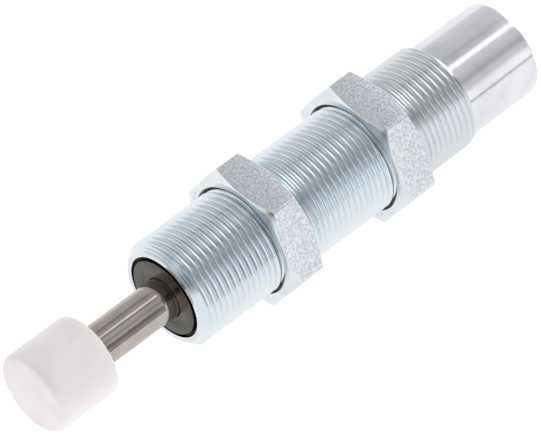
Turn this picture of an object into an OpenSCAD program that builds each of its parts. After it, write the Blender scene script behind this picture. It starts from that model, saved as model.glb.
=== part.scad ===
// Small threaded industrial shock absorber: a threaded housing with two lock nuts,
// a sprung piston rod with a plastic buffer cap, and the hydraulic parts inside.
// The axis is X. The origin is on the axis in the front rim of the housing, and +X
// points out of the housing to the buffer cap. Inside, places are given as a depth
// behind the front rim. One flat of each nut faces down and one faces up (+Z).

/* [Housing] */
// Outside diameter of the mounting thread
thread_d = 16; // [15.5:0.1:18]
// Pitch of the mounting thread
thread_pitch = 1; // [0.75:0.25:1.5]
// Radial depth of the thread grooves
thread_depth = 0.6; // [0.3:0.05:0.6]
// Width of the flat at the bottom of a thread groove
thread_root = 0.12; // [0.05:0.01:0.12]
// Depth behind the front rim where the thread ends
thread_end = 50.5; // [46:0.5:56]
// Overall length of the housing
housing_len = 63.8; // [62:0.2:70]
// Radial step from the thread down to the smooth tail
tail_step = 0.75; // [0.6:0.05:0.9]
// Lead-in chamfer at the front of the thread
front_chamfer = 1; // [0.4:0.1:1.2]
// Chamfer on the rear edge of the tail
tail_chamfer = 0.4; // [0.1:0.1:0.8]
// Wall between the thread grooves and the main bore
thread_wall = 1.1; // [0.9:0.05:1.2]
// Thickness of the closed rear end
end_wall = 5; // [4.5:0.1:5.5]
// Radial slip clearance of the parts that sit in a bore or on a spigot
slip = 0.05; // [0.02:0.01:0.08]

/* [Lock nuts] */
// Wall of a nut between its thread and its flats
nut_wall = 1.5; // [1.2:0.1:4]
// Thickness of one nut
nut_h = 5.5; // [5:0.5:8]
// Distance of the corner chamfers' circle inside the flats
nut_face_inset = 0.2; // [0.05:0.05:0.4]
// Angle of the corner chamfers
nut_chamfer_angle = 26; // [15:1:35]
// Width of the end faces between countersink and corner chamfers
nut_face_ring = 0.9; // [0.3:0.05:1]
// Depth from the front rim to the front nut
front_nut_depth = 14.1; // [11:0.1:15]
// Clear distance between the two nuts
nut_gap = 15.5; // [13:0.5:20]
// Radial running clearance between nut and thread
nut_run = 0.05; // [0.02:0.01:0.1]

/* [Rod and buffer] */
// Diameter of the piston rod
rod_d = 6; // [5:0.1:6.2]
// Free length of rod between the front rim and the buffer cap
rod_free = 13.6; // [13:0.1:18]
// Working stroke
stroke = 12; // [8:0.5:12]
// Diameter of the buffer cap
cap_d = 12; // [10:0.5:14]
// Length of the buffer cap
cap_len = 10.2; // [9:0.1:14]
// Length of rod held in the buffer cap
cap_grip = 6.5; // [4:0.5:7.5]
// Rounding of the buffer cap's back edge
cap_back_round = 0.6; // [0.2:0.1:1]
// Rounding of the buffer cap's striking edge
cap_front_round = 0.8; // [0.2:0.1:1.2]
// Radial running clearance of the rod and the piston
run = 0.03; // [0.02:0.01:0.06]

/* [Front cover and seals] */
// Radial width of the gap round the cover's raised middle
cover_gap = 0.55; // [0.4:0.05:0.8]
// Height by which the cover stands out of the rim
cover_proud = 0.1; // [0:0.05:0.4]
// Thickness of the cover's flange
cover_flange = 1.2; // [0.8:0.1:1.6]
// Radial clearance of the rod in the cover
cover_run = 0.08; // [0.05:0.01:0.1]
// Setback of the retaining ring behind the front rim
ring_setback = 0.5; // [0.4:0.1:0.8]
// Thickness of the retaining ring
ring_t = 0.7; // [0.5:0.1:0.9]
// Depth of the ring groove in the bore
ring_groove = 0.35; // [0.2:0.05:0.35]
// Angle of the gap in the retaining ring
ring_gap_angle = 24; // [10:1:40]
// Place of that gap round the axis, counted from the top
ring_gap_turn = 150; // [0:5:355]
// Length of the wiper ring
wiper_len = 2; // [1.5:0.1:2.4]
// Length of the rod seal
seal_len = 3; // [2.5:0.1:3.4]
// Width of the groove behind the rod seal's lip
seal_groove = 0.7; // [0.4:0.1:0.9]
// Depth of the groove behind the rod seal's lip
seal_groove_len = 1.5; // [0.8:0.1:1.8]
// Thickness of the seal washer
washer_t = 0.8; // [0.5:0.1:1.2]

/* [Bearing and accumulator] */
// Length of the carrier's flange
carrier_flange = 3; // [2.6:0.1:3.4]
// Wall of the carrier's neck under the foam
neck_wall = 0.3; // [0.25:0.05:0.6]
// Length of the carrier's neck
neck_len = 8; // [6:0.5:9]
// Length of the carrier's spigot inside the pressure tube
spigot_len = 3; // [2:0.5:4]
// Wall of the rod bearing
bearing_wall = 0.9; // [0.7:0.05:0.9]
// Length of the rod bearing
bearing_len = 10; // [7:0.5:10.5]
// Thickness of the lip in front of the rod bearing
bearing_lip = 2; // [1.5:0.1:2.4]
// Cross-section diameter of the carrier's O-ring
o_ring_d = 1.2; // [1:0.1:1.4]
// Radial room for oil round the accumulator foam
foam_room = 0.15; // [0.1:0.05:0.4]
// Play at each end of the accumulator foam
foam_play = 0.1; // [0.05:0.05:0.3]

/* [Pressure tube and piston] */
// Radial gap for oil between the pressure tube and the housing
oil_gap = 0.5; // [0.4:0.05:0.6]
// Wall of the pressure tube
tube_wall = 0.8; // [0.6:0.05:0.9]
// Length of the piston
piston_len = 5; // [4.6:0.1:6]
// Gap between the extended piston and the bearing carrier
piston_gap = 0.3; // [0.2:0.05:0.5]
// Width of the check ring
check_w = 1.4; // [1:0.1:1.6]
// Axial play of the check ring at each side
check_play = 0.35; // [0.3:0.05:0.4]
// Radial thickness of the check ring
check_t = 1; // [0.8:0.1:1.2]
// Angle of the split in the check ring
check_gap_angle = 8; // [4:1:20]
// Diameter of the rod's neck inside the piston
rod_neck_d = 4; // [3.5:0.1:4.2]
// Thickness of the piston clip
clip_t = 0.5; // [0.4:0.05:0.6]
// Depth of the clip's groove in the rod's neck
clip_bite = 0.5; // [0.3:0.05:0.6]
// Length of the rod's neck behind the piston clip
neck_tip = 1; // [0.6:0.1:1.5]
// Radial clearance between the piston clip and the spring round it
clip_play = 0.4; // [0.2:0.05:0.8]
// Angle of the opening in the piston clip
clip_gap_angle = 80; // [60:5:120]
// Diameter of the metering holes
meter_d = 1; // [0.6:0.1:1.2]
// Number of metering holes
meter_count = 5; // [3:1:6]
// Share of the stroke left after each metering hole
meter_ratio = 0.55; // [0.45:0.05:0.7]
// Diameter of the return ports
port_d = 1.6; // [1:0.1:1.8]
// Number of return ports
port_count = 4; // [2:1:6]

/* [Return spring and rear end] */
// Wire diameter of the return spring
wire_d = 0.8; // [0.5:0.05:0.8]
// Number of turns of the return spring
spring_turns = 9; // [6:1:11]
// Radial play of the spring in the pressure tube
spring_play = 0.5; // [0.4:0.05:0.7]
// Thickness of the spring seat
seat_t = 1; // [0.6:0.1:1.4]
// Thickness of the tube base's flange
base_flange = 1.5; // [1:0.1:2]
// Length of the tube base's spigot
base_spigot = 1.5; // [1:0.1:2]
// Diameter of the oil hole through the tube base
base_hole_d = 3; // [2:0.1:4]
// Diameter of the filler screw
filler_d = 5; // [4:0.5:6]
// Length of the filler screw
filler_len = 2.8; // [2.2:0.1:3.2]
// Width across flats of the filler screw's socket
filler_socket = 2.5; // [2:0.1:2.5]
// Depth of the filler screw's socket
filler_socket_depth = 1.6; // [1:0.1:2]
// Thickness of the filler washer
filler_washer_t = 0.5; // [0.3:0.1:0.7]
// Setback of the filler screw behind the rear face
filler_setback = 0.2; // [0:0.1:0.5]
// Diameter of the filler passage
filler_hole_d = 2; // [1.5:0.1:2.4]

/* [Hidden] */
$fn = 96;
far = 100;         // longer than any part, for cuts that go right through
thread_flank_angle = 30;
spring_sides = 8;
spring_steps = 24;  // rings of points in one turn of the spring

// Radii
thread_r = thread_d / 2;
tail_r = thread_r - tail_step;
bore_r = thread_r - thread_depth - thread_wall;
seated_r = bore_r - slip;
rod_r = rod_d / 2;
run_r = rod_r + run;
cap_r = cap_d / 2;
tube_outer_r = bore_r - oil_gap;
tube_r = tube_outer_r - tube_wall;
piston_r = tube_r - run;
carrier_bore_r = run_r + bearing_wall + slip;
neck_r = carrier_bore_r + neck_wall;
groove_r = bore_r + ring_groove;
boss_r = bore_r - cover_gap;
rod_neck_r = rod_neck_d / 2;
wire_r = wire_d / 2;
spring_r = tube_r - spring_play - wire_r;
clip_r = spring_r - wire_r - clip_play;
nut_bore_r = thread_r + nut_run;
nut_flat_r = thread_r + nut_wall;
nut_corner_r = nut_flat_r / cos(30);
nut_face_r = nut_flat_r - nut_face_inset;
nut_sink_r = max(nut_bore_r, nut_face_r - nut_face_ring);

// Depths behind the front rim, one part after the other
ring_end = ring_setback + ring_t;
cover_end = ring_end + cover_flange;
wiper_end = cover_end + wiper_len;
seal_end = wiper_end + seal_len;
washer_end = seal_end + washer_t;
flange_end = washer_end + carrier_flange;
neck_end = flange_end + neck_len;
carrier_end = neck_end + spigot_len;
bearing_start = washer_end + bearing_lip;
piston_start = carrier_end + piston_gap;
piston_end = piston_start + piston_len;
clip_end = piston_end + slip + clip_t;
rod_end = clip_end + slip + neck_tip;
bore_end = housing_len - end_wall;
tube_end = bore_end - base_flange;
base_start = tube_end - base_spigot;
seat_start = base_start - seat_t;
filler_end = housing_len - filler_setback;
filler_start = filler_end - filler_len;
filler_step = filler_start - filler_washer_t;
rear_nut_depth = front_nut_depth + nut_h + nut_gap;

// Thread grooves
flank = thread_depth * tan(thread_flank_angle);
crest = thread_pitch - thread_root - 2 * flank;
groove_count = floor((thread_end - front_chamfer - crest) / thread_pitch);
groove_points = [
    for (i = [0 : groove_count - 1])
        let (start = front_chamfer + crest + i * thread_pitch)
        each [
            [thread_r, start],
            [thread_r - thread_depth, start + flank],
            [thread_r - thread_depth, start + flank + thread_root],
            [thread_r, start + 2 * flank + thread_root]]];

// A quarter circle of a turned edge: centre, radius, first and last angle
function arc(centre, r, from, to, steps = 8) = [
    for (i = [0 : steps])
        let (a = from + (to - from) * i / steps)
        centre + r * [cos(a), sin(a)]];

// Turns a profile of [radius, depth] points round the axis
module turned(profile) {
    rotate([0, -90, 0]) rotate_extrude() polygon(profile);
}

// A plain ring from one depth to another
module ring(inner_r, outer_r, from, to) {
    turned([[inner_r, from], [outer_r, from], [outer_r, to], [inner_r, to]]);
}

// A wedge round the axis, centred on an angle from +Z, for cutting gaps in rings
module wedge(angle, from, to, turn = 0) {
    reach = far / 10;
    rotate([turn, 0, 0]) rotate([0, -90, 0]) translate([0, 0, from]) linear_extrude(to - from)
        polygon([[0, 0], reach * [cos(angle / 2), -sin(angle / 2)],
                 reach * [cos(angle / 2), sin(angle / 2)]]);
}

// The threaded barrel, smooth at the rear, with the stepped bore and the ring groove
module housing() {
    filler_r = filler_d / 2;
    color("lightsteelblue") turned(concat(
        [[bore_r, 0], [thread_r - front_chamfer, 0], [thread_r, front_chamfer]],
        groove_points,
        [[thread_r, thread_end],
         [tail_r, thread_end + thread_r - tail_r],
         [tail_r, housing_len - tail_chamfer],
         [tail_r - tail_chamfer, housing_len],
         [filler_r, housing_len], [filler_r, filler_step],
         [filler_hole_d / 2, filler_step], [filler_hole_d / 2, bore_end],
         [bore_r, bore_end],
         [bore_r, ring_end + slip], [groove_r, ring_end + slip],
         [groove_r, ring_setback - slip], [bore_r, ring_setback - slip]]));
}

// A hexagonal nut with chamfered corners and a countersunk running bore
module lock_nut(depth) {
    corner_drop = (nut_corner_r - nut_face_r) * tan(nut_chamfer_angle);
    sink = nut_sink_r - nut_bore_r;
    back = depth + nut_h;
    intersection() {
        translate([-depth, 0, 0]) rotate([0, -90, 0]) rotate([0, 0, 30])
            cylinder(r = nut_corner_r, h = nut_h, $fn = 6);
        turned([
            [nut_sink_r, depth], [nut_face_r, depth],
            [nut_corner_r, depth + corner_drop], [nut_corner_r, back - corner_drop],
            [nut_face_r, back], [nut_sink_r, back],
            [nut_bore_r, back - sink], [nut_bore_r, depth + sink]]);
    }
}

module front_lock_nut() {
    color("lightslategray") lock_nut(front_nut_depth);
}

module rear_lock_nut() {
    color("lightslategray") lock_nut(rear_nut_depth);
}

// The plastic cap that takes the blow, with a blind hole for the rod
module buffer_cap() {
    back = -rod_free;
    front = back - cap_len;
    grip_r = rod_r + slip / 2;
    color("white") turned(concat(
        [[0, front]],
        arc([cap_r - cap_front_round, front + cap_front_round], cap_front_round, -90, 0),
        arc([cap_r - cap_back_round, back - cap_back_round], cap_back_round, 0, 90),
        [[grip_r, back], [grip_r, back - cap_grip], [0, back - cap_grip]]));
}

// The ground rod, with a chamfered end in the cap and a grooved neck for the piston
module piston_rod() {
    front = -rod_free - cap_grip;
    lead = 0.5;
    clip_floor_r = rod_neck_r - clip_bite;
    color("silver") turned([
        [0, front], [rod_r - lead, front], [rod_r, front + lead],
        [rod_r, piston_start], [rod_neck_r, piston_start],
        [rod_neck_r, piston_end], [clip_floor_r, piston_end],
        [clip_floor_r, clip_end + slip], [rod_neck_r, clip_end + slip],
        [rod_neck_r, rod_end], [0, rod_end]]);
}

// The dark disc in the mouth of the housing: a flange behind the retaining ring
module front_cover() {
    hole_r = rod_r + cover_run;
    color("dimgray") turned([
        [hole_r, -cover_proud], [boss_r, -cover_proud], [boss_r, ring_end],
        [seated_r, ring_end], [seated_r, cover_end], [hole_r, cover_end]]);
}

// The snap ring that holds the whole stack in the bore
module retaining_ring() {
    color("black") difference() {
        ring(boss_r + slip, groove_r - slip, ring_setback, ring_end);
        wedge(ring_gap_angle, 0, far, ring_gap_turn);
    }
}

// The wiper, with a lip that leans out along the rod
module wiper_ring() {
    lip = wiper_len / 3;
    color("darkslategray") turned([
        [run_r, cover_end + slip], [run_r + lip, cover_end + lip + slip], [seated_r, cover_end + lip + slip],
        [seated_r, wiper_end], [rod_r + cover_run, wiper_end], [run_r, cover_end + lip]]);
}

// The rod seal, a ring with a groove that opens to the oil
module rod_seal() {
    middle = (rod_r + seated_r) / 2;
    color("saddlebrown") difference() {
        ring(run_r, seated_r, wiper_end, seal_end);
        ring(middle - seal_groove / 2, middle + seal_groove / 2, seal_end - seal_groove_len, seal_end + slip);
    }
}

// The flat washer that backs the rod seal
module seal_washer() {
    color("silver") ring(rod_r + cover_run, seated_r, seal_end, washer_end);
}

// The carrier of the rod bearing: flange with O-ring groove, neck and spigot
module bearing_carrier() {
    middle = washer_end + carrier_flange / 2;
    groove_half = o_ring_d / 2 + slip;
    groove_floor_r = seated_r - o_ring_d;
    color("gainsboro") turned([
        [rod_r + cover_run, washer_end], [seated_r, washer_end],
        [seated_r, middle - groove_half], [groove_floor_r, middle - groove_half],
        [groove_floor_r, middle + groove_half], [seated_r, middle + groove_half],
        [seated_r, flange_end], [neck_r, flange_end],
        [neck_r, neck_end], [tube_r - slip, neck_end],
        [tube_r - slip, carrier_end], [carrier_bore_r, carrier_end],
        [carrier_bore_r, bearing_start], [rod_r + cover_run, bearing_start]]);
}

// The plain bearing that guides the rod
module rod_bearing() {
    color("peru") ring(run_r, carrier_bore_r - slip, bearing_start, bearing_start + bearing_len);
}

// The O-ring that seals the carrier in the bore
module carrier_o_ring() {
    middle = washer_end + carrier_flange / 2;
    color("black") rotate([0, -90, 0]) translate([0, 0, middle])
        rotate_extrude() translate([bore_r - slip / 2 - o_ring_d / 2, 0]) circle(d = o_ring_d);
}

// The closed-cell foam sleeve that makes room for the oil the rod displaces
module accumulator_foam() {
    color("darkgray")
        ring(neck_r + slip, bore_r - foam_room, flange_end + foam_play, neck_end - foam_play);
}

// The hardened tube with metering holes along the stroke and return ports in front
module pressure_tube() {
    color("slategray") difference() {
        ring(tube_r, tube_outer_r, neck_end, tube_end);
        for (i = [1 : meter_count])
            translate([-(piston_end + stroke * (1 - pow(meter_ratio, i))), 0, 0])
                cylinder(d = meter_d, h = far);
        for (i = [0 : port_count - 1])
            translate([-(carrier_end + port_d), 0, 0]) rotate([i * 360 / port_count + 45, 0, 0])
                cylinder(d = port_d, h = far);
    }
}

// The piston, with a groove for the floating check ring
module piston() {
    groove_start = piston_start + (piston_len - check_w) / 2 - check_play;
    groove_end = groove_start + check_w + 2 * check_play;
    floor_r = piston_r - check_t - slip;
    hole_r = rod_neck_r + slip / 2;
    color("lightgray") turned([
        [hole_r, piston_start], [piston_r, piston_start],
        [piston_r, groove_start], [floor_r, groove_start],
        [floor_r, groove_end], [piston_r, groove_end],
        [piston_r, piston_end], [hole_r, piston_end]]);
}

// The split ring that lifts off its seat and lets the oil back on the return stroke
module check_ring() {
    start = piston_start + (piston_len - check_w) / 2;
    color("goldenrod") difference() {
        ring(piston_r - check_t, piston_r, start, start + check_w);
        wedge(check_gap_angle, 0, far, 90);
    }
}

// The clip that keeps the piston on the rod
module piston_clip() {
    color("dimgray") difference() {
        ring(rod_neck_r - clip_bite + slip, clip_r, piston_end + slip, clip_end);
        wedge(clip_gap_angle, 0, far, -90);
    }
}

// The coil spring that pushes the rod out, swept as rings of points along a helix
module return_spring() {
    start = piston_end + wire_r + slip;
    end = seat_start - wire_r - slip;
    rings = spring_turns * spring_steps;
    points = [
        for (i = [0 : rings], j = [0 : spring_sides - 1])
            let (turn = 360 * i / spring_steps, side = 360 * j / spring_sides)
            [-(start + (end - start) * i / rings + wire_r * sin(side)),
             (spring_r + wire_r * cos(side)) * cos(turn),
             (spring_r + wire_r * cos(side)) * sin(turn)]];
    walls = [
        for (i = [0 : rings - 1], j = [0 : spring_sides - 1])
            let (k = (j + 1) % spring_sides, a = i * spring_sides, b = a + spring_sides)
            [a + j, a + k, b + k, b + j]];
    first = [for (j = [0 : spring_sides - 1]) spring_sides - 1 - j];
    last = [for (j = [0 : spring_sides - 1]) rings * spring_sides + j];
    color("silver") polyhedron(points, concat(walls, [first, last]));
}

// The hardened washer under the spring
module spring_seat() {
    color("silver") ring(base_hole_d / 2, tube_r - slip, seat_start, base_start);
}

// The plug that closes and centres the rear of the pressure tube
module tube_base() {
    color("gainsboro") turned([
        [base_hole_d / 2, base_start], [tube_r - slip, base_start],
        [tube_r - slip, tube_end], [seated_r, tube_end],
        [seated_r, bore_end], [base_hole_d / 2, bore_end]]);
}

// The socket screw that closes the filler passage
module filler_screw() {
    lead = 0.3;
    screw_r = filler_d / 2 - slip;
    color("darkgray") difference() {
        turned([
            [0, filler_start], [screw_r, filler_start], [screw_r, filler_end - lead],
            [screw_r - lead, filler_end], [0, filler_end]]);
        translate([-filler_end + filler_socket_depth, 0, 0]) rotate([0, -90, 0])
            cylinder(d = filler_socket / cos(30), h = far, $fn = 6);
    }
}

// The soft washer under the filler screw
module filler_washer() {
    color("peru") ring(filler_hole_d / 2, filler_d / 2 - slip, filler_step, filler_start);
}

housing();
front_lock_nut();
rear_lock_nut();
buffer_cap();
piston_rod();
front_cover();
retaining_ring();
wiper_ring();
rod_seal();
seal_washer();
bearing_carrier();
rod_bearing();
carrier_o_ring();
accumulator_foam();
pressure_tube();
piston();
check_ring();
piston_clip();
return_spring();
spring_seat();
tube_base();
filler_screw();
filler_washer();
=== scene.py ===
from math import cos, pi, radians, sin, tan

import bmesh
import bpy
from mathutils import Matrix, Vector


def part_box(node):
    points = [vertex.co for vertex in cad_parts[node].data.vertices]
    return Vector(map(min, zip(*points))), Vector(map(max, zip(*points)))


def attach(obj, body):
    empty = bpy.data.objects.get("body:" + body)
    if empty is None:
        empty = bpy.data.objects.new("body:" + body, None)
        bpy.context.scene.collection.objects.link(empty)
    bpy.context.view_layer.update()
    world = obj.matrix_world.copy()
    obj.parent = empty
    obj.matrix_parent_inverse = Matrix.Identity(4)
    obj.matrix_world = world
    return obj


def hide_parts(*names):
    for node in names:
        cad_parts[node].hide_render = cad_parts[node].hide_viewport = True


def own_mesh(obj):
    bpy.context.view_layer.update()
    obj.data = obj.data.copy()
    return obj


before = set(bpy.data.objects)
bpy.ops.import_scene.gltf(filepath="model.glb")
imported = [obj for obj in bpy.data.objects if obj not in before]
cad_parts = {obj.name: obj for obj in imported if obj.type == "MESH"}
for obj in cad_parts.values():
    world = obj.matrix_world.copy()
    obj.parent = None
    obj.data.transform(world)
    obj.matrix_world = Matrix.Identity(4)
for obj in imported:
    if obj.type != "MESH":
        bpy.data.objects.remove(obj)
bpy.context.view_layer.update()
mm = 0.001
print("frame loaded with", len(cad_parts), "parts")


# Camera

cameraSettings = {
    "target": (-21.83, -2.23, -3.52),  # mm
    "azimuth": 45.6,  # degrees from +X towards +Y
    "elevation": 49.54,  # degrees above the floor
    "roll": 0.18,  # degrees
    "distance": 785.8,  # mm
    "lens": 389.3,  # mm
    "sensor": 36,  # mm
    "clip": (0.05, 20),  # metres
}


def addCamera(settings):
    azimuth, elevation, roll = (radians(settings[k]) for k in ("azimuth", "elevation", "roll"))
    back = Vector((cos(elevation) * cos(azimuth), cos(elevation) * sin(azimuth), sin(elevation)))
    level = Vector((-sin(azimuth), cos(azimuth), 0))
    right = level * cos(roll) + back.cross(level) * sin(roll)
    place = Matrix((right, back.cross(right), back)).transposed().to_4x4()
    place.translation = (Vector(settings["target"]) + back * settings["distance"]) * mm
    data = bpy.data.cameras.new("camera")
    data.lens = settings["lens"]
    data.sensor_width = settings["sensor"]
    data.clip_start, data.clip_end = settings["clip"]
    camera = bpy.data.objects.new("camera", data)
    camera.matrix_world = place
    bpy.context.scene.collection.objects.link(camera)
    bpy.context.scene.camera = camera


addCamera(cameraSettings)
bpy.context.scene.view_settings.view_transform = "Standard"
print("camera placed")


# Node helpers

# sRGB hex code to the linear colour that the shaders take
def linearColour(code):
    parts = [int(code[i:i + 2], 16) / 255 for i in (1, 3, 5)]
    return [c / 12.92 if c <= 0.04045 else ((c + 0.055) / 1.055) ** 2.4 for c in parts] + [1.0]


def socketValue(value):
    return linearColour(value) if isinstance(value, str) else value


# Adds a node. Settings are its options, ramp stops or unlinked sockets; links are socket: source
def addNode(tree, kind, settings=None, links=None):
    node = tree.nodes.new("ShaderNode" + kind)
    for key, value in (settings or {}).items():
        if key == "stops":
            elements = node.color_ramp.elements
            while len(elements) < len(value):
                elements.new(1.0)
            for element, (position, colour) in zip(elements, value):
                element.position = position
                element.color = socketValue(colour)
        elif isinstance(key, str) and hasattr(node, key):
            setattr(node, key, value)
        else:
            node.inputs[key].default_value = socketValue(value)
    for key, source in (links or {}).items():
        tree.links.new(source, node.inputs[key])
    return node


# A new material, its node tree, its shader, and each point's place on the piece in mm
def startMaterial(name, settings):
    material = bpy.data.materials.new(name)
    material.use_nodes = True
    tree = material.node_tree
    shader = tree.nodes["Principled BSDF"]
    for socket, value in settings.items():
        shader.inputs[socket].default_value = socketValue(value)
    coordinates = addNode(tree, "TexCoord")
    place = addNode(tree, "VectorMath", {"operation": "SCALE", "Scale": 1 / mm},
                    {0: coordinates.outputs["Object"]})
    return material, tree, shader, place.outputs[0]


# A place as (distance along the axis, radius, 0): a pattern on it runs round like tool marks
def roundTheAxis(tree, place):
    parts = addNode(tree, "SeparateXYZ", {}, {0: place})
    across = addNode(tree, "CombineXYZ", {}, {"Y": parts.outputs["Y"], "Z": parts.outputs["Z"]})
    radius = addNode(tree, "VectorMath", {"operation": "LENGTH"}, {0: across.outputs[0]})
    turned = addNode(tree, "CombineXYZ", {}, {"X": parts.outputs["X"], "Y": radius.outputs["Value"]})
    return turned.outputs[0]


# Materials

# Gives a shader its colour, a roughness that follows one pattern, and fine relief from another.
# The relief's height is in mm, and span is the part of the roughness pattern's range that counts.
def dressShader(tree, shader, colour, gloss, roughness, relief, height, span=(0.0, 1.0)):
    tree.links.new(colour, shader.inputs["Base Color"])
    rough = addNode(tree, "MapRange", {
        "From Min": span[0], "From Max": span[1], "To Min": roughness[0], "To Max": roughness[1]},
        {"Value": gloss})
    tree.links.new(rough.outputs[0], shader.inputs["Roughness"])
    bump = addNode(tree, "Bump", {"Strength": 1.0, "Distance": height * mm}, {"Height": relief})
    tree.links.new(bump.outputs[0], shader.inputs["Normal"])


# Metal cut or ground on a lathe: fine rings round the axis, and slow clouds in its colour
def makeLatheMetal(name, values, shaderSettings=None):
    material, tree, shader, place = startMaterial(name, {"Metallic": 1.0, **(shaderSettings or {})})
    clouds = addNode(tree, "TexNoise", {"Scale": 1 / values["cloudSize"], "Detail": 3.0}, {"Vector": place})
    colour = addNode(tree, "ValToRGB", {"stops": [(0.35, values["dark"]), (0.65, values["light"])]},
                     {0: clouds.outputs["Fac"]})
    marks = addNode(tree, "TexNoise", {"Scale": 1 / values["markWidth"], "Detail": 2.0},
                    {"Vector": roundTheAxis(tree, place)})
    dressShader(tree, shader, colour.outputs["Color"], marks.outputs["Fac"], values["roughness"],
                marks.outputs["Fac"], values["markHeight"], (0.3, 0.7))
    return material


# Bright zinc plate under a clear passivated film on a rolled thread: cold and silky, and grey behind the
# rear nut.
# Bluest on one side and paler to the sides as painted reflection, and paler in the roots as painted light
def makeZincPlatedSteel(values):
    film, filmIor, filmRoughness = values["film"]
    material, tree, shader, place = startMaterial("zincPlatedSteel", {
        "Metallic": 1.0, "Coat Weight": film, "Coat IOR": filmIor, "Coat Roughness": filmRoughness})
    clouds = addNode(tree, "TexNoise", {"Scale": 1 / values["cloudSize"], "Detail": 3.0}, {"Vector": place})
    parts = addNode(tree, "SeparateXYZ", {}, {0: place})
    # Painted reflection: bluest at blueAt round from the top and paler to the sides, standing in for the
    # whiter sheen of a grazing view
    turn = addNode(tree, "Math", {"operation": "ARCTAN2"}, {0: parts.outputs["Y"], 1: parts.outputs["Z"]})
    off = addNode(tree, "Math", {"operation": "SUBTRACT", 1: radians(values["blueAt"])},
                  {0: turn.outputs[0]})
    away = addNode(tree, "Math", {"operation": "ABSOLUTE"}, {0: off.outputs[0]})
    # The clouds move the edge of the blue stripe in and out, by half their own swing round 0.5
    start, end = values["blueSpread"]
    fading = addNode(tree, "MapRange", {
        "From Min": radians(start), "From Max": radians(end), "To Min": -0.25, "To Max": 0.75},
        {"Value": away.outputs[0]})
    mixed = addNode(tree, "Math", {"operation": "MULTIPLY_ADD", 1: 0.5},
                    {0: clouds.outputs["Fac"], 2: fading.outputs[0]})
    blue = addNode(tree, "ValToRGB", {"stops": [(0.0, values["blue"]), (1.0, values["pale"])]},
                   {0: mixed.outputs[0]})
    start, end = values["greyFrom"]
    behind = addNode(tree, "MapRange", {"From Min": start, "From Max": end}, {"Value": parts.outputs["X"]})
    plate = addNode(tree, "Mix", {"data_type": "RGBA", 7: values["grey"]},
                    {0: behind.outputs[0], 6: blue.outputs["Color"]})
    # Painted light: the roots take a paler colour, standing in for light that bounces between the flanks
    lathe = addNode(tree, "SeparateXYZ", {}, {0: roundTheAxis(tree, place)})
    # The front chamfer is as narrow as a root, so only what lies behind it counts as one
    start, end = values["rootRadius"]
    deep = addNode(tree, "MapRange", {"From Min": start, "From Max": end}, {"Value": lathe.outputs["Y"]})
    start, end = values["threadFrom"]
    thread = addNode(tree, "MapRange", {"From Min": start, "From Max": end}, {"Value": parts.outputs["X"]})
    root = addNode(tree, "Math", {"operation": "MULTIPLY"}, {0: deep.outputs[0], 1: thread.outputs[0]})
    colour = addNode(tree, "Mix", {"data_type": "RGBA", 7: values["root"]},
                     {0: root.outputs[0], 6: plate.outputs[2]})
    marks = addNode(tree, "TexNoise", {"Scale": 1 / values["markWidth"], "Detail": 2.0}, {"Vector": place})
    dressShader(tree, shader, colour.outputs[2], clouds.outputs["Fac"], values["roughness"],
                marks.outputs["Fac"], values["markHeight"])
    return material


# Zinc plate on barrel-tumbled nuts: dull silver with a fine sparkle from the peened grain
def makeTumbledNutSteel(values):
    material, tree, shader, place = startMaterial("tumbledNutSteel", {"Metallic": 1.0})
    grain = addNode(tree, "TexNoise", {"Scale": 1 / values["grainSize"], "Detail": 3.0, "Roughness": 0.6},
                    {"Vector": place})
    colour = addNode(tree, "ValToRGB", {"stops": [(0.4, values["dark"]), (0.6, values["light"])]},
                     {0: grain.outputs["Fac"]})
    dressShader(tree, shader, colour.outputs["Color"], grain.outputs["Fac"], values["roughness"],
                grain.outputs["Fac"], values["grainHeight"], (0.3, 0.7))
    return material


# Something moulded or foamed: a dull body with an even fine texture of cells or mould grain
def makeMoulded(name, values, shaderSettings=None):
    material, tree, shader, place = startMaterial(name, shaderSettings or {})
    clouds = addNode(tree, "TexNoise", {"Scale": 1 / values["cloudSize"], "Detail": 2.0}, {"Vector": place})
    colour = addNode(tree, "ValToRGB", {"stops": [(0.35, values["dark"]), (0.65, values["light"])]},
                     {0: clouds.outputs["Fac"]})
    cells = addNode(tree, "TexVoronoi", {"Scale": 1 / values["grainSize"]}, {"Vector": place})
    dressShader(tree, shader, colour.outputs["Color"], clouds.outputs["Fac"], values["roughness"],
                cells.outputs["Distance"], values["grainHeight"])
    return material


# All sizes below are in mm. Marks finer than 0.1 mm are drawn about 0.1 mm wide, so that they show.
zincPlatedSteel = makeZincPlatedSteel({
    "blue": "#D5E2EE", "pale": "#ECF3F3", "grey": "#DCDFE4", "root": "#EEF2F5",
    "blueAt": 22, "blueSpread": (30, 85),  # degrees round the thread from the top
    "greyFrom": (-36, -40), "threadFrom": (-0.7, -1.0),  # places along X between which they begin
    "rootRadius": (7.64, 7.6),
    "film": (0.6, 1.6, 0.12),  # weight, IOR, roughness
    "cloudSize": 2.6, "roughness": (0.12, 0.22), "markWidth": 0.2, "markHeight": 0.003})

tumbledNutSteel = makeTumbledNutSteel({
    "dark": "#D0D5DD", "light": "#F0F3F9", "grainSize": 0.34, "grainHeight": 0.033,
    "roughness": (0.2, 0.34)})

# Lathe-cut nut faces, smoother and brighter than the tumbled flats beside them
turnedNutSteel = makeLatheMetal("turnedNutSteel", {
    "dark": "#E1E7EA", "light": "#ECF0F1", "cloudSize": 3.0,
    "markWidth": 0.22, "markHeight": 0.0016, "roughness": (0.1, 0.2)})

# Painted shade: a nut's bore and countersinks coloured dark, which gives the dark line round the thread
# beside it
nutBorePaintedShade = makeLatheMetal("nutBorePaintedShade", {
    "dark": "#6A7076", "light": "#787F85", "cloudSize": 2.0,
    "markWidth": 0.22, "markHeight": 0.0016, "roughness": (0.35, 0.45)})

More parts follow.
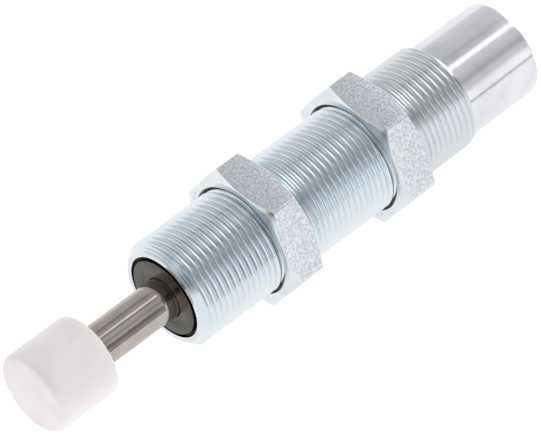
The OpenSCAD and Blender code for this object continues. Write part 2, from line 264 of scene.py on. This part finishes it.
# Zinc plate over a turned surface: bright neutral metal with visible feed rings
turnedZincSteel = makeLatheMetal("turnedZincSteel", {
    "dark": "#E4E5EB", "light": "#EFF0F5", "cloudSize": 4.0, "markWidth": 0.22, "markHeight": 0.0016,
    "roughness": (0.1, 0.2)})

# Ground and polished rod steel: a warm dark mirror with faint rings
groundRodSteel = makeLatheMetal("groundRodSteel", {
    "dark": "#B9B1AC", "light": "#C4BCB7", "cloudSize": 3.0, "markWidth": 0.12, "markHeight": 0.0004,
    "roughness": (0.08, 0.13)})

# Blackened and turned cover: dark brown-grey satin that catches light in two fans
blackenedSteel = makeLatheMetal("blackenedSteel", {
    "dark": "#514E49", "light": "#5D5A54", "cloudSize": 2.0, "markWidth": 0.1, "markHeight": 0.003,
    "roughness": (0.16, 0.26)})

# Phosphated and oiled spring steel: a dull black coat over the metal
blackSpringSteel = makeLatheMetal("blackSpringSteel", {
    "dark": "#070707", "light": "#0D0D0E", "cloudSize": 1.0, "markWidth": 0.15, "markHeight": 0.002,
    "roughness": (0.4, 0.55)}, {"Metallic": 0.0, "Specular IOR Level": 0.1})

# Plain turned steel, only oiled: mid grey with clear feed rings
turnedSteel = makeLatheMetal("turnedSteel", {
    "dark": "#ACACAB", "light": "#BCBCBA", "cloudSize": 3.0, "markWidth": 0.18, "markHeight": 0.003,
    "roughness": (0.25, 0.36)})

# Hardened and honed tube steel: darker and finer
hardenedSteel = makeLatheMetal("hardenedSteel", {
    "dark": "#8C8E91", "light": "#9FA1A4", "cloudSize": 3.0, "markWidth": 0.1, "markHeight": 0.001,
    "roughness": (0.16, 0.26)})

# Drawn music wire: grey with long soft streaks
musicWire = makeLatheMetal("musicWire", {
    "dark": "#A3A5A8", "light": "#B5B7BA", "cloudSize": 1.2, "markWidth": 0.12, "markHeight": 0.001,
    "roughness": (0.2, 0.32)})

# Sintered bronze, porous and oil-soaked: warm brown-gold
sinteredBronze = makeLatheMetal("sinteredBronze", {
    "dark": "#A9804C", "light": "#C0975F", "cloudSize": 0.5, "markWidth": 0.12, "markHeight": 0.004,
    "roughness": (0.35, 0.5)})

# Soft annealed copper washer: pink-brown, dull where it has been pressed
annealedCopper = makeLatheMetal("annealedCopper", {
    "dark": "#B0704F", "light": "#C98A67", "cloudSize": 0.8, "markWidth": 0.15, "markHeight": 0.002,
    "roughness": (0.28, 0.42)})

# Moulded acetal: dense white, a little warm, waxy and matt with a fine mould grain
acetalPlastic = makeMoulded("acetalPlastic", {
    "dark": "#F0EAEB", "light": "#F6F1F2", "cloudSize": 4.0, "grainSize": 0.25, "grainHeight": 0.002,
    "roughness": (0.42, 0.52)}, {"Subsurface Weight": 0.1, "Subsurface Scale": 0.0015})

# Moulded nitrile rubber: matt black with a fine bloom
nitrileRubber = makeMoulded("nitrileRubber", {
    "dark": "#171717", "light": "#242424", "cloudSize": 0.8, "grainSize": 0.15, "grainHeight": 0.004,
    "roughness": (0.55, 0.7)})

# Closed-cell nitrile foam: dark grey skin over round cells about 0.3 mm across
closedCellFoam = makeMoulded("closedCellFoam", {
    "dark": "#303133", "light": "#434447", "cloudSize": 1.0, "grainSize": 0.3, "grainHeight": 0.05,
    "roughness": (0.75, 0.9)})
print("materials made")


# Mesh helpers

# A point from its depth behind the front rim and its radius, both in mm, and its angle from the top
def axisPoint(depth, radius, angle):
    return Vector((-depth, radius * sin(angle), radius * cos(angle))) * mm


# Rounds the corners of a closed outline of (depth, radius) or (depth, radius, rounding)
def soften(outline, steps=4):
    corners = [Vector(point[:2]) for point in outline]
    result = []
    for i, point in enumerate(outline):
        if len(point) == 2:
            result.append(corners[i])
            continue
        start = corners[i] + (corners[i - 1] - corners[i]).normalized() * point[2]
        end = corners[i] + (corners[(i + 1) % len(corners)] - corners[i]).normalized() * point[2]
        for k in range(steps + 1):
            t = k / steps
            result.append(start * (1 - t) ** 2 + corners[i] * 2 * t * (1 - t) + end * t * t)
    return result


# Turns a closed mesh into an object that is smooth up to an angle between its faces
def finishMesh(mesh, name, material, sharpFrom):
    bmesh.ops.recalc_face_normals(mesh, faces=mesh.faces)
    data = bpy.data.meshes.new(name)
    mesh.to_mesh(data)
    mesh.free()
    data.shade_smooth()
    data.set_sharp_from_angle(angle=radians(sharpFrom))
    data.materials.append(material)
    piece = bpy.data.objects.new(name, data)
    bpy.context.scene.collection.objects.link(piece)
    return piece


# Skins closed outlines that stand at a row of angles into one smooth solid
def skinOutlines(name, outlineAt, angles, material, sharpFrom=40):
    mesh = bmesh.new()
    rows = [[mesh.verts.new(axisPoint(d, r, angle)) for d, r in outlineAt(angle)] for angle in angles]
    for here, there in zip(rows, rows[1:]):
        for i in range(len(here)):
            mesh.faces.new((here[i - 1], here[i], there[i], there[i - 1]))
    if abs(angles[-1] - angles[0]) < 2 * pi - 0.001:
        mesh.faces.new(rows[0])
        mesh.faces.new(rows[-1][::-1])
    bmesh.ops.remove_doubles(mesh, verts=mesh.verts, dist=0.0004 * mm)
    return finishMesh(mesh, name, material, sharpFrom)


def evenAngles(count, start=0.0, end=2 * pi):
    return [start + (end - start) * i / count for i in range(count + 1)]


# A solid of one outline all the way round
def turnOutline(name, outline, material, count=128, steps=4):
    points = soften(outline, steps)
    return skinOutlines(name, lambda angle: points, evenAngles(count), material)


# Puts a finished piece on its body in place of a CAD part, which it hides
def fit(piece, body, node):
    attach(piece, body)
    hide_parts(node)


# Housing

housingSizes = {
    "threadRadius": 8.0,
    "pitch": 1.0,
    "threadDepth": 0.42,
    "threadStart": 0.57,  # turns from the top to the place where a crest meets the front rim
    "frontChamfer": 1.0,
    "chamferRidges": (0.33, 0.075, 0.11),  # spacing, height, depth of the first one
    "threadEnd": 50.5,
    "tailRadius": 7.25,
    "tailChamfer": 0.4,
    "tailRounding": 0.12,
    "boreRadius": 6.3,
    "rimRounding": 0.07,
    "rimBevel": 0.08,  # between the front rim and its chamfer
    "boreEnd": 58.8,
    "ringGroove": (0.45, 1.25, 6.65),  # from, to, radius
    "passageRadius": 1.0,
    "fillerStep": 60.3,
    "fillerRadius": 2.5,
    "fillerChamfer": 0.2,
    "fillerRounding": 0.04,
    "turnedWithin": 6.85,  # radius inside which every face is turned
    "columns": 128,
}
# Places in one turn of the thread where it is sampled, closer together at crest and root
threadSamples = (0.0, 0.06, 0.12, 0.19, 0.27, 0.36, 0.44, 0.5, 0.56, 0.64, 0.73, 0.81, 0.88, 0.94)


# Depth of the groove at a place in its turn: rolled thread, with a rounded crest and a sharp root
def threadDrop(turns, sizes):
    return sizes["threadDepth"] * (1 - abs(cos(pi * turns)))


def makeHousing(sizes):
    length = -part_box("housing")[0].x / mm
    pitch, radius, chamfer = sizes["pitch"], sizes["threadRadius"], sizes["frontChamfer"]
    coneEnd = sizes["threadEnd"] + radius - sizes["tailRadius"]
    turns = int(coneEnd / pitch) + 2
    grooveStart, grooveEnd, grooveRadius = sizes["ringGroove"]
    inside = soften([
        (coneEnd + 0.3, sizes["tailRadius"]),
        (length - sizes["tailChamfer"], sizes["tailRadius"], sizes["tailRounding"]),
        (length, sizes["tailRadius"] - sizes["tailChamfer"], sizes["tailRounding"]),
        (length, sizes["fillerRadius"] + sizes["fillerChamfer"], sizes["fillerRounding"]),
        (length - sizes["fillerChamfer"], sizes["fillerRadius"], sizes["fillerRounding"]),
        (sizes["fillerStep"], sizes["fillerRadius"]),
        (sizes["fillerStep"], sizes["passageRadius"]),
        (sizes["boreEnd"], sizes["passageRadius"]),
        (sizes["boreEnd"], sizes["boreRadius"]),
        (grooveEnd, sizes["boreRadius"]), (grooveEnd, grooveRadius),
        (grooveStart, grooveRadius), (grooveStart, sizes["boreRadius"]),
        (0.0, sizes["boreRadius"], sizes["rimRounding"]),
        (0.0, radius - chamfer - sizes["rimBevel"])], 3)
    spacing, height, first = sizes["chamferRidges"]

    # Radius of the outside of the thread: its groove, within the chamfers at its two ends
    def outsideAt(depth, lead):
        ridge = height * (cos(2 * pi * (depth - first) / spacing) - 1) / 2 if 0 < depth < chamfer else 0
        cone = min(radius - chamfer + depth + ridge, radius, coneEnd + sizes["tailRadius"] - depth)
        return min(radius - threadDrop((depth - lead) / pitch, sizes), cone)

    def outlineAt(angle):
        lead = pitch * (angle / (2 * pi) + sizes["threadStart"])
        start = [i * chamfer / 24 for i in range(24)]  # fine steps, for the ridges
        rest = [min(max((turn + sample) * pitch + lead, chamfer), coneEnd)
                for turn in range(-1, turns) for sample in threadSamples]
        return [(depth, outsideAt(depth, lead)) for depth in start + rest] + inside

    piece = skinOutlines("housingBarrel", outlineAt, evenAngles(sizes["columns"]), zincPlatedSteel)
    # The tail, the front rim and the inside are turned, the rest is the rolled thread
    piece.data.materials.append(turnedZincSteel)
    for face in piece.data.polygons:
        depth, reach = -face.center.x / mm, face.center.yz.length / mm
        if depth > coneEnd - 0.2 or depth < 0.01 or reach < sizes["turnedWithin"]:
            face.material_index = 1
    fit(piece, "housing_group", "housing")


makeHousing(housingSizes)
print("housing made")


# Lock nuts

nutSizes = {
    "cornerSharpness": 90,  # higher is sharper
    "faceRadius": 9.3,
    "chamferSlope": 26,  # degrees
    "sinkRadius": 8.4,
    "boreRadius": 8.05,
    "edgeRounding": 0.07,
    "faceRounding": 0.04,
    "sideSteps": 14,
    "turnedFrom": 0.3,  # how far a face has to turn towards an end to be turned metal
}


def makeNut(name, body, node, sizes):
    low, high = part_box(node)
    front, back, flat = -high.x / mm, -low.x / mm, high.z / mm
    slope = tan(radians(sizes["chamferSlope"]))
    sink = sizes["sinkRadius"] - sizes["boreRadius"]
    edge, rim = sizes["edgeRounding"], sizes["faceRounding"]

    # Distance of the outside at an angle: six planes, with their corners a little worn
    def outsideAt(angle):
        near = [cos(angle - k * pi / 3) for k in range(6)]
        power = sizes["cornerSharpness"]
        return flat * sum(c ** power for c in near if c > 0) ** (-1 / power)

    def outlineAt(angle):
        outside = outsideAt(angle)
        drop = (outside - sizes["faceRadius"]) * slope
        return soften([
            (front, sizes["sinkRadius"], rim), (front, sizes["faceRadius"], rim),
            (front + drop, outside, edge), (back - drop, outside, edge),
            (back, sizes["faceRadius"], rim), (back, sizes["sinkRadius"], rim),
            (back - sink, sizes["boreRadius"]), (front + sink, sizes["boreRadius"])])

    # Angles gather towards the corners of the hexagon
    steps = sizes["sideSteps"]
    half = [radians(30) * sin(i / steps * pi / 2) for i in range(steps + 1)]
    sector = [-a for a in half[:0:-1]] + half[:-1]
    angles = [k * pi / 3 + a for k in range(6) for a in sector] + [6 * pi / 3 - radians(30)]
    piece = skinOutlines(name, outlineAt, angles, tumbledNutSteel, 50)
    # The end faces and cones are turned, the bore and countersinks take the painted shade, the flats as
    # tumbled
    piece.data.materials.append(turnedNutSteel)
    piece.data.materials.append(nutBorePaintedShade)
    for face in piece.data.polygons:
        if face.center.yz.length / mm < sizes["sinkRadius"]:
            face.material_index = 2
        elif abs(face.normal.x) > sizes["turnedFrom"]:
            face.material_index = 1
    fit(piece, body, node)


makeNut("frontLockNut", "front_nut_group", "front_lock_nut", nutSizes)
makeNut("rearLockNut", "rear_nut_group", "rear_lock_nut", nutSizes)
print("lock nuts made")


# Rod and buffer

capSizes = {
    "frontRounding": 1.0,
    "backRounding": 0.75,
    "grip": 6.5,  # how deep the rod sits in it
    "gripRadius": 3.025,
    "gripRounding": 0.12,
}
rodSizes = {
    "lead": 0.5,
    "leadRounding": 0.1,
    "shoulder": 22.5,
    "shoulderRounding": 0.05,
    "neckRadius": 2.0,
    "clipGroove": (27.5, 28.1, 1.5),  # from, to, radius
    "endRounding": 0.15,
}


def makeBufferCap(sizes):
    low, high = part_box("buffer_cap")
    front, back, radius = -high.x / mm, -low.x / mm, high.z / mm
    piece = turnOutline("bufferCap", [
        (front, 0), (front, radius, sizes["frontRounding"]), (back, radius, sizes["backRounding"]),
        (back, sizes["gripRadius"], sizes["gripRounding"]),
        (back - sizes["grip"], sizes["gripRadius"]), (back - sizes["grip"], 0)], acetalPlastic, steps=8)
    fit(piece, "rod_group", "buffer_cap")


def makeRod(sizes):
    low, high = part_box("piston_rod")
    front, back, radius = -high.x / mm, -low.x / mm, high.z / mm
    grooveStart, grooveEnd, grooveRadius = sizes["clipGroove"]
    lead, leadRounding, neck = sizes["lead"], sizes["leadRounding"], sizes["neckRadius"]
    piece = turnOutline("pistonRod", [
        (front, 0), (front, radius - lead, leadRounding), (front + lead, radius, leadRounding),
        (sizes["shoulder"], radius, sizes["shoulderRounding"]), (sizes["shoulder"], neck),
        (grooveStart, neck), (grooveStart, grooveRadius), (grooveEnd, grooveRadius), (grooveEnd, neck),
        (back, neck, sizes["endRounding"]), (back, 0)], groundRodSteel)
    fit(piece, "rod_group", "piston_rod")


makeBufferCap(capSizes)
makeRod(rodSizes)
print("rod and buffer made")


# Front cover and retaining ring

coverSizes = {
    "bossRadius": 5.75,
    "edgeRounding": 0.08,
    "flangeDepth": 1.2,
    "backRounding": (0.1, 0.05),  # at the rim, at the hole
    "holeRadius": 3.08,
    "recessRadius": 3.9,
    "recessDepth": 0.12,
    "recessRounding": (0.05, 0.06),  # at its bottom, at the face
}
ringSizes = {
    "innerRadius": 5.80,
    "rounding": 0.12,
    "gap": 24,  # degrees
    "gapTurn": 150,  # degrees from the top
}


def makeCover(sizes):
    low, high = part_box("front_cover")
    front, back, radius = -high.x / mm, -low.x / mm, high.z / mm
    edge, recess, bottom = sizes["edgeRounding"], sizes["recessRadius"], front + sizes["recessDepth"]
    atBottom, atFace = sizes["recessRounding"]
    atRim, atHole = sizes["backRounding"]
    # The recess has a wall at 45 degrees
    piece = turnOutline("frontCover", [
        (bottom, sizes["holeRadius"], edge), (bottom, recess, atBottom),
        (front, recess + sizes["recessDepth"], atFace), (front, sizes["bossRadius"], edge),
        (sizes["flangeDepth"], sizes["bossRadius"]), (sizes["flangeDepth"], radius),
        (back, radius, atRim), (back, sizes["holeRadius"], atHole)], blackenedSteel)
    fit(piece, "housing_group", "front_cover")


def makeRetainingRing(sizes):
    low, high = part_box("retaining_ring")
    front, back, radius = -high.x / mm, -low.x / mm, high.z / mm
    inner, rounding = sizes["innerRadius"], sizes["rounding"]
    section = soften([(front, inner, rounding), (front, radius, rounding),
                      (back, radius, rounding), (back, inner, rounding)])
    start = radians(sizes["gapTurn"] + sizes["gap"] / 2)
    end = radians(sizes["gapTurn"] - sizes["gap"] / 2) + 2 * pi
    angles = evenAngles(120, start, end)
    piece = skinOutlines("retainingRing", lambda angle: section, angles, blackSpringSteel)
    fit(piece, "housing_group", "retaining_ring")


makeCover(coverSizes)
makeRetainingRing(ringSizes)
print("front end made")


# Return spring

springSizes = {
    "turns": 9,
    "closedTurns": 1.0,  # at each end, lying almost against the next turn
    "wireRadius": 0.4,
    "closedGap": 0.06,  # between closed turns, as a share of the wire
    "meanRadius": 4.1,
    "stepsPerTurn": 40,
    "sides": 14,
    "travel": 12.0,
}


def makeSpring(sizes):
    low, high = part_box("return_spring")
    wire = sizes["wireRadius"]
    front, back = -high.x / mm + wire, -low.x / mm - wire
    closed, turns = sizes["closedTurns"], sizes["turns"]
    closedRise = 2 * wire * (1 + sizes["closedGap"])
    activeRise = (back - front - 2 * closed * closedRise) / (turns - 2 * closed)

    # Depth of the wire's centre after some turns: closed end, open coils, closed end
    def depthAt(turn):
        opened = min(max(turn - closed, 0), turns - 2 * closed)
        return front + opened * activeRise + (turn - opened) * closedRise

    mesh = bmesh.new()
    rings = []
    for i in range(turns * sizes["stepsPerTurn"] + 1):
        turn = i / sizes["stepsPerTurn"]
        angle = 2 * pi * turn
        ring = []
        for j in range(sizes["sides"]):
            side = 2 * pi * j / sizes["sides"]
            ring.append(mesh.verts.new(axisPoint(
                depthAt(turn) + wire * sin(side), sizes["meanRadius"] + wire * cos(side), angle)))
        rings.append(ring)
    for here, there in zip(rings, rings[1:]):
        for j in range(sizes["sides"]):
            mesh.faces.new((here[j - 1], here[j], there[j], there[j - 1]))
    mesh.faces.new(rings[0])
    mesh.faces.new(rings[-1][::-1])
    piece = finishMesh(mesh, "returnSpring", musicWire, 50)
    fit(piece, "housing_group", "return_spring")
    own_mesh(piece)


makeSpring(springSizes)
print("spring made")


# Filler screw

screwSizes = {
    "frontRounding": 0.1,
    "lead": 0.3,
    "leadRounding": 0.08,
    "socketFlat": 1.25,
    "socketDepth": 1.6,
    "socketMouth": 0.12,
    "socketEdge": (0.03, 0.02),  # between the face and the socket's corners: width, rounding
    "socketPoint": 0.25,  # how much deeper the drilled point goes
}


def makeFillerScrew(sizes):
    low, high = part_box("filler_screw")
    front, back, radius = -high.x / mm, -low.x / mm, high.z / mm
    bottom, lead = back - sizes["socketDepth"], sizes["lead"]
    edge, edgeRounding = sizes["socketEdge"]

    def outlineAt(angle):
        turned = (angle + pi / 6) % (pi / 3) - pi / 6
        socket = sizes["socketFlat"] / cos(turned)
        return soften([
            (front, 0), (front, radius, sizes["frontRounding"]),
            (back - lead, radius, sizes["leadRounding"]), (back, radius - lead, sizes["leadRounding"]),
            (back, sizes["socketFlat"] / cos(pi / 6) + edge, edgeRounding),
            (back - sizes["socketMouth"], socket), (bottom, socket),
            (bottom - sizes["socketPoint"], 0)], 3)

    piece = skinOutlines("fillerScrew", outlineAt, evenAngles(96), tumbledNutSteel, 45)
    fit(piece, "housing_group", "filler_screw")


makeFillerScrew(screwSizes)
print("filler screw made")


# The parts that keep their CAD shape

finishes = {
    "wiper_ring": nitrileRubber,
    "rod_seal": nitrileRubber,
    "carrier_o_ring": nitrileRubber,
    "seal_washer": turnedSteel,
    "bearing_carrier": turnedSteel,
    "tube_base": turnedSteel,
    "piston": turnedSteel,
    "rod_bearing": sinteredBronze,
    "check_ring": sinteredBronze,
    "accumulator_foam": closedCellFoam,
    "pressure_tube": hardenedSteel,
    "spring_seat": hardenedSteel,
    "piston_clip": blackSpringSteel,
    "filler_washer": annealedCopper,
}
for node, material in finishes.items():
    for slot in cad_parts[node].material_slots:
        slot.material = material
print("inner parts finished")


# Studio

studio = {
    "floorSize": 6.0,  # metres
    "shine": 0.86,  # how bright reflections see floor and room, beside what lights a dull surface
    "floorGlow": 0.98,
    "floorPaper": "#6E6E6E",
    "backdrop": 1.0,
    # Brightness of the soft box round the piece, by the angle from straight up towards +Y
    "walls": [(-100, 1.12), (-88, 0.93), (-78, 0.82), (-58, 0.71), (-40, 0.70), (-30, 0.65), (-12, 0.60),
              (10, 0.76), (24, 0.72), (34, 0.62), (42, 0.48), (50, 0.76), (60, 0.76), (68, 1.2), (90, 1.24)],
    # Tubes and gaps between its panels: middle, half width, soft edge, brightness added, and how far
    # along the housing's axis each starts and ends, from -1 behind to 1 ahead
    "bands": [(1.4, 3.5, 3.5, 0.85, -2, -0.3), (-22, 1.0, 5.0, -0.1, -2, 2),
              (89, 1.5, 2.0, -1.0, -2, -0.3), (42, 12, 14, -0.6, 0.28, 2)],
    "bandFade": 0.12,  # how gently they start and end
    # The wall behind the tail, by the same angle, and where it takes over
    "back": [(-100, 1.2), (-75, 1.2), (-56, 1.15), (-44, 1.7), (-32, 3.0), (-16, 3.8), (-5, 3.0),
             (4, 1.5), (12, 0.7), (25, 0.4), (45, 0.4), (60, 0.6), (75, 0.9), (90, 1.2)],
    "backFrom": (-0.58, -0.78),
    "darkest": 0.02,
    # Brightness of its end in front of the buffer, by the angle from +X towards +Y
    "end": [(-90, 1.1), (-60, 1.5), (-42, 1.1), (-31, 0.74), (-22, 0.78), (-14, 0.95), (-8, 0.75),
            (2, 0.5), (8, 0.26), (16, 0.42), (27, 0.98), (34, 1.2), (60, 1.25), (90, 1.2)],
    "endFrom": (0.5, 0.75),  # share of the way to straight ahead where the end takes over
    # Cards that only show as reflections, most of all in the rod: two corners in mm, and brightness
    "cards": [((-13, 30, 8.7), (2, 30, 19.5), 0.30), ((-13, 30, -1), (2, 30, 8.7), 0.5),
              ((-13, -19.5, 30), (2, -13.5, 30), 0.35), ((-13, 3.6, 30), (2, 8.6, 30), 0.4),
              ((150, -22, -9.4), (150, 50, 30), 0.12)],
}


# Brightness of a wall by angle, from a share of a full turn that is 0 at -180 and 1 at 180 degrees
def wallLight(tree, levels, share):
    peak = max(value for place, value in levels)
    stops = [((place + 180) / 360, (value / peak,) * 3 + (1,)) for place, value in levels]
    ramp = addNode(tree, "ValToRGB", {"stops": stops}, {0: share})
    return addNode(tree, "Math", {"operation": "MULTIPLY", 1: peak}, {0: ramp.outputs["Color"]})


# A soft step from 0 to an amount as a value passes from one place to another
def softStep(tree, value, start, end, amount=1.0):
    return addNode(tree, "MapRange", {
        "interpolation_type": "SMOOTHSTEP", "From Min": start, "From Max": end, "To Max": amount},
        {"Value": value})


def lightRoom(settings):
    world = bpy.data.worlds.new("studio")
    bpy.context.scene.world = world
    world.use_nodes = True
    tree = world.node_tree
    shine = tree.nodes["Background"]
    coordinates = addNode(tree, "TexCoord")
    parts = addNode(tree, "SeparateXYZ", {}, {0: coordinates.outputs["Generated"]})
    angle = addNode(tree, "Math", {"operation": "ARCTAN2"}, {0: parts.outputs["Y"], 1: parts.outputs["Z"]})
    degrees = addNode(tree, "Math", {"operation": "MULTIPLY", 1: 180 / pi}, {0: angle.outputs[0]})
    share = addNode(tree, "MapRange", {"From Min": -180, "From Max": 180}, {"Value": degrees.outputs[0]})
    light = wallLight(tree, settings["walls"], share.outputs[0])
    back = wallLight(tree, settings["back"], share.outputs[0])
    behind = softStep(tree, parts.outputs["X"], *settings["backFrom"])
    light = addNode(tree, "Mix", {"data_type": "FLOAT"},
                    {0: behind.outputs[0], 2: light.outputs[0], 3: back.outputs[0]})
    fade = settings["bandFade"]
    for middle, half, edge, added, start, end in settings["bands"]:
        away = addNode(tree, "Math", {"operation": "SUBTRACT", 1: middle}, {0: degrees.outputs[0]})
        off = addNode(tree, "Math", {"operation": "ABSOLUTE"}, {0: away.outputs[0]})
        band = softStep(tree, off.outputs[0], half + edge, half, added)
        begun = softStep(tree, parts.outputs["X"], start, start + fade)
        going = softStep(tree, parts.outputs["X"], end, end - fade)
        within = addNode(tree, "Math", {"operation": "MULTIPLY"}, {0: begun.outputs[0], 1: going.outputs[0]})
        light = addNode(tree, "Math", {"operation": "MULTIPLY_ADD"},
                        {0: band.outputs[0], 1: within.outputs[0], 2: light.outputs[0]})
    heading = addNode(tree, "Math", {"operation": "ARCTAN2"}, {0: parts.outputs["Y"], 1: parts.outputs["X"]})
    around = addNode(tree, "MapRange", {"From Min": -pi, "From Max": pi}, {"Value": heading.outputs[0]})
    end = wallLight(tree, settings["end"], around.outputs[0])
    ahead = softStep(tree, parts.outputs["X"], *settings["endFrom"])
    light = addNode(tree, "Mix", {"data_type": "FLOAT"},
                    {0: ahead.outputs[0], 2: light.outputs[0], 3: end.outputs[0]})
    light = addNode(tree, "Math", {"operation": "MAXIMUM", 1: settings["darkest"]}, {0: light.outputs[0]})
    # The camera sees a plain backdrop instead, and reflections see the room a little dimmer
    seen = addNode(tree, "LightPath")
    sky = addNode(tree, "Mix", {"data_type": "FLOAT", 3: settings["backdrop"]},
                  {0: seen.outputs["Is Camera Ray"], 2: light.outputs[0]})
    dimmed = addNode(tree, "MapRange", {"To Min": 1.0, "To Max": settings["shine"]},
                     {"Value": seen.outputs["Is Glossy Ray"]})
    strength = addNode(tree, "Math", {"operation": "MULTIPLY"}, {0: sky.outputs[0], 1: dimmed.outputs[0]})
    shine.inputs["Color"].default_value = linearColour("#FFFFFF")
    tree.links.new(strength.outputs[0], shine.inputs["Strength"])


# The floor that the piece lies on: grey paper that glows, so that it shows white
def layFloor(settings):
    floor = bpy.data.meshes.new("floor")
    half = settings["floorSize"] / 2
    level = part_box("front_lock_nut")[0].z  # the nuts' lower flats lie on the floor
    corners = [(-half, -half, level), (half, -half, level), (half, half, level), (-half, half, level)]
    floor.from_pydata(corners, [], [(0, 1, 2, 3)])
    paper, tree, shader, place = startMaterial("studioPaper", {
        "Base Color": settings["floorPaper"], "Roughness": 0.9, "Specular IOR Level": 0.1,
        "Emission Color": "#FFFFFF"})
    seen = addNode(tree, "LightPath")
    glow = addNode(tree, "MapRange", {
        "To Min": settings["floorGlow"], "To Max": settings["floorGlow"] * settings["shine"]},
        {"Value": seen.outputs["Is Glossy Ray"]})
    tree.links.new(glow.outputs[0], shader.inputs["Emission Strength"])
    fibres = addNode(tree, "TexNoise", {"Scale": 2.0, "Detail": 4.0}, {"Vector": place})
    bump = addNode(tree, "Bump", {"Strength": 0.3, "Distance": 0.01 * mm}, {"Height": fibres.outputs["Fac"]})
    tree.links.new(bump.outputs[0], shader.inputs["Normal"])
    floor.materials.append(paper)
    ground = bpy.data.objects.new("floor", floor)
    bpy.context.scene.collection.objects.link(ground)


def hangCards(settings):
    for i, (low, high, glow) in enumerate(settings["cards"]):
        flat = [a == b for a, b in zip(low, high)].index(True)
        first, second = [k for k in range(3) if k != flat]
        corners = []
        for a, b in ((low, low), (high, low), (high, high), (low, high)):
            corner = Vector(low)
            corner[first], corner[second] = a[first], b[second]
            corners.append(corner * mm)
        data = bpy.data.meshes.new("card")
        data.from_pydata(corners, [], [(0, 1, 2, 3)])
        data.materials.append(startMaterial("greyCard", {
            "Base Color": "#000000", "Roughness": 1.0, "Specular IOR Level": 0.0,
            "Emission Color": "#FFFFFF", "Emission Strength": glow * settings["shine"]})[0])
        card = bpy.data.objects.new("card" + str(i), data)
        bpy.context.scene.collection.objects.link(card)
        card.visible_camera = card.visible_diffuse = card.visible_shadow = False


lightRoom(studio)
layFloor(studio)
hangCards(studio)
print("studio lit")
